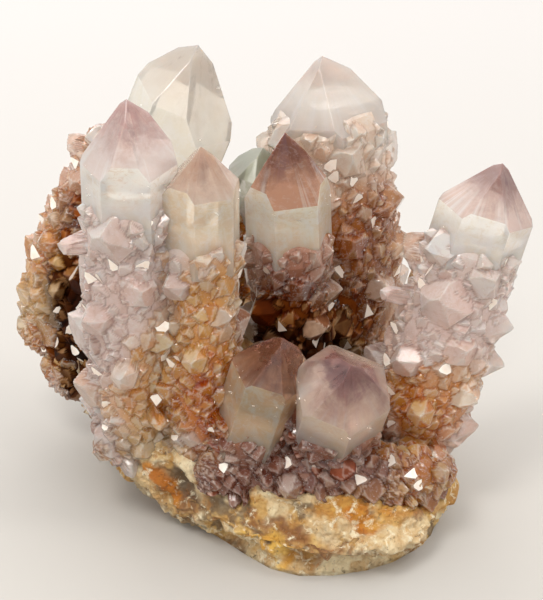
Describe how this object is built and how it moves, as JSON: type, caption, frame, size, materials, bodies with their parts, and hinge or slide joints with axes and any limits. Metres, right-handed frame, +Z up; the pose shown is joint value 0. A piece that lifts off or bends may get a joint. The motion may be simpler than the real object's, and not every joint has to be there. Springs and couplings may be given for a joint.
{
  "type": "amethyst crystal cluster",
  "caption": "Free-standing quartz specimen: pale violet hexagonal crystal points rising from stalks coated in small druse crystals, on a broken slab of stained rock with a flat underside.",
  "frame": {"origin": "middle of the flat underside of the rock slab, on the surface that the specimen stands on", "axes": "+Z up out of the surface, +X to the right and -Y to the front as the picture shows the specimen"},
  "size_m": [0.0922, 0.0718, 0.08],
  "materials": {
    "matrix_rock": "rough, ochre and cream stained",
    "lilac_quartz": "clear pale violet crystal with frosted druse",
    "amber_quartz": "clear pale crystal with amber brown druse",
    "smoky_quartz": "clear smoky violet crystal with dark druse"
  },
  "bodies": {
    "root": {"matrix_rock": "matrix_rock", "twin_spire_front": "smoky_quartz", "twin_spire_left": "lilac_quartz", "spire_right": "lilac_quartz", "spire_centre": "smoky_quartz", "spire_back_left": "lilac_quartz", "spire_back": "amber_quartz", "spire_rear": "lilac_quartz"}
  },
  "joints": []
}
